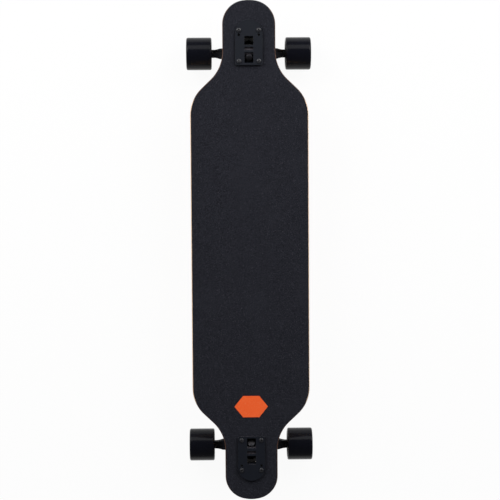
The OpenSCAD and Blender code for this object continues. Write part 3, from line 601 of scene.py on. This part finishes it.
# %% [markdown]
# A bushing's section goes up its outside, which bulges and has rounded corners, and comes back down the bore.

# %% Draw a bushing's section
BORE, BULGE = 4.85, 0.45


def bushing_section(first, last, length, steps=12, corner=1.5):
    """Points round a bushing of one length, whose outside goes from the radius first to the radius last."""
    outside = []
    for i in range(steps + 1):
        share = i / steps
        height = length * share
        radius = first + (last - first) * share + BULGE * math.sin(math.pi * share)
        to_end = min(height, length - height)
        if to_end < corner:
            radius -= corner - math.sqrt(corner**2 - (corner - to_end) ** 2)
        outside.append((radius, height))
    inside = [(BORE, length * (1 - i / steps)) for i in range(steps + 1)]
    return outside + inside


print("points in a bushing's section:", len(bushing_section(12.4, 12.4, 15.5)))

# %% [markdown]
# Each bushing is turned round the kingpin, from its washer's face to the ring's web, and takes the place of
# the CAD piece, which is hidden.

# %% Bushings
bushing_rubber, shader, place = new_finish("bushing_urethane", Specular_IOR_Level=0.22)
bloom = noise(place, 3.0, detail=3.0)
feed(shader.inputs["Base Color"], blend_colours(bloom, srgb(9, 9, 12), srgb(18, 18, 22)))
feed(shader.inputs["Roughness"], 0.28 + bloom * 0.14)
relief(shader, bloom, 0.05, 0.4)

# Station of the washer's face and of the web, and the bushing's radius at each, in mm
BUSHINGS = {"barrel_bushing": (22.5, 38.0, 12.4, 12.4), "cone_bushing": (59.5, 46.0, 9.75, 12.4)}
for end, sign in ENDS.items():
    for kind, (washer, web, washer_r, web_r) in BUSHINGS.items():
        start, stop = sorted((washer, web))
        radii = (washer_r, web_r) if washer < web else (web_r, washer_r)
        section = bushing_section(*radii, stop - start)
        piece = turned_ring(f"{end}_{kind}_urethane", section, kingpin_place(sign, start), bushing_rubber)
        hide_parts(f"{end}_{kind}")
        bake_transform(piece)
        dressed.add(f"{end}_{kind}")
        print(piece.name, "length in mm:", stop - start)

# %% [markdown]
# The pivot cups are the other urethane piece of a truck: a thin cup in which the hanger's pivot turns. Only
# its rim shows.

# %% Pivot cups
dress(truck_nodes("pivot_cup"), bushing_rubber)
print("nodes without a finish:", sorted(set(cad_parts) - dressed))

# %% [markdown]
# ## The studio
#
# The photograph has a pure white ground. A floor that is only lit brightly would light the board from below
# as well, so part of its white is a glow that only the camera and reflections see. The rest of it is plain
# matt white, which keeps the soft shadow of the board. The floor itself is one wide square, a hair below
# the wheels.

# %% Floor
REACH, HAIR = 30.0, 0.0005

corners = [(-REACH, -REACH, 0), (REACH, -REACH, 0), (REACH, REACH, 0), (-REACH, REACH, 0)]
floor_data = bpy.data.meshes.new("floor")
floor_data.from_pydata(corners, [], [(0, 1, 2, 3)])
floor = bpy.data.objects.new("floor", floor_data)
floor.location.z = -HAIR
scene.collection.objects.link(floor)
print("floor in m:", 2 * REACH)

# %% [markdown]
# A Mix Shader goes from the matt white to the glow where a ray comes from the camera, or from a reflection in
# metal or glass. Right under the board the glow fades out, or it would shine up through the windows of the
# flanges.

# %% White of the floor
GLOW = 0.94
UNDER_X, UNDER_Y = (50.0, 25.0), (500.0, 460.0)

white, shader, place = new_finish("white_floor", Roughness=0.9, Specular_IOR_Level=0.0)
feed(shader.inputs["Base Color"], srgb(250, 250, 250))
light_path = place.node("ShaderNodeLightPath", {}).socket.node
camera_ray, glossy_ray, through_ray = [
    Wire(light_path.outputs[f"Is {kind} Ray"]) for kind in ("Camera", "Glossy", "Transmission")
]
seen = camera_ray.maths("MAXIMUM", glossy_ray).maths("MAXIMUM", through_ray)
x, y, _ = split(place)
covered = step(abs(x), *UNDER_X) * step(abs(y), *UNDER_Y)
matt = Wire(shader.outputs["BSDF"])
glow = place.node("ShaderNodeEmission", {}, Color=(1, 1, 1), Strength=1.0)
surface = place.node("ShaderNodeMixShader", {}, seen * (GLOW - covered * GLOW), matt, glow)
feed(white.node_tree.nodes["Material Output"].inputs["Surface"], surface)
floor_data.materials.append(white)
print("share of the floor's white that is glow:", GLOW)

# %% [markdown]
# The wheels in the photograph tell how the studio was lit, because a cylinder mirrors everything above it in
# one strip. Their middle is nearly black, so the ceiling was dark. Their upper third has a soft grey band
# that stops sharply, so a soft box hung beyond the nose. Their rims mirror the white floor. The world copies
# that: pale near the horizon and dark overhead. The camera itself sees it white.

# %% World
HORIZON, CEILING = 0.45, 0.10
world = bpy.data.worlds.new("studio")
world.use_nodes = True
scene.world = world
background = world.node_tree.nodes["Background"]
direction = Wire(world.node_tree.nodes.new("ShaderNodeTexCoord").outputs["Generated"])
up = split(direction)[2]
level = HORIZON - (HORIZON - CEILING) * up.maths("MAXIMUM", 0.0) ** 0.5
to_camera = Wire(world.node_tree.nodes.new("ShaderNodeLightPath").outputs["Is Camera Ray"])
feed(background.inputs["Color"], (1, 1, 1))
feed(background.inputs["Strength"], level + to_camera * (1 - level))
print("world from ceiling to horizon:", CEILING, HORIZON)

# %% [markdown]
# Two large soft boxes at the sides do most of the lighting, where no wheel mirrors them. A third, weaker one
# beyond the nose draws the band on the wheels, and makes the nose a little brighter than the tail. Their
# power is set so that a colour renders about as it is written.

# %% Soft boxes
def soft_box(name, location, size, power):
    lamp = bpy.data.lights.new(name, "AREA")
    lamp.shape = "RECTANGLE"
    lamp.size, lamp.size_y = size
    lamp.energy = power
    holder = bpy.data.objects.new(name, lamp)
    holder.location = location
    holder.rotation_euler = (-Vector(location)).to_track_quat("-Z", "Y").to_euler()
    holder.visible_camera = False
    scene.collection.objects.link(holder)
    return holder


boxes = [
    soft_box("left_box", location=(-1.7, 1.6, 1.6), size=(1.4, 2.0), power=45),
    soft_box("right_box", location=(1.7, 1.6, 1.6), size=(1.4, 2.0), power=45),
    soft_box("nose_box", location=(0.0, 2.5, 2.2), size=(3.0, 1.6), power=24),
]
print("lamps:", [(box.name, box.data.energy) for box in boxes])

# %% [markdown]
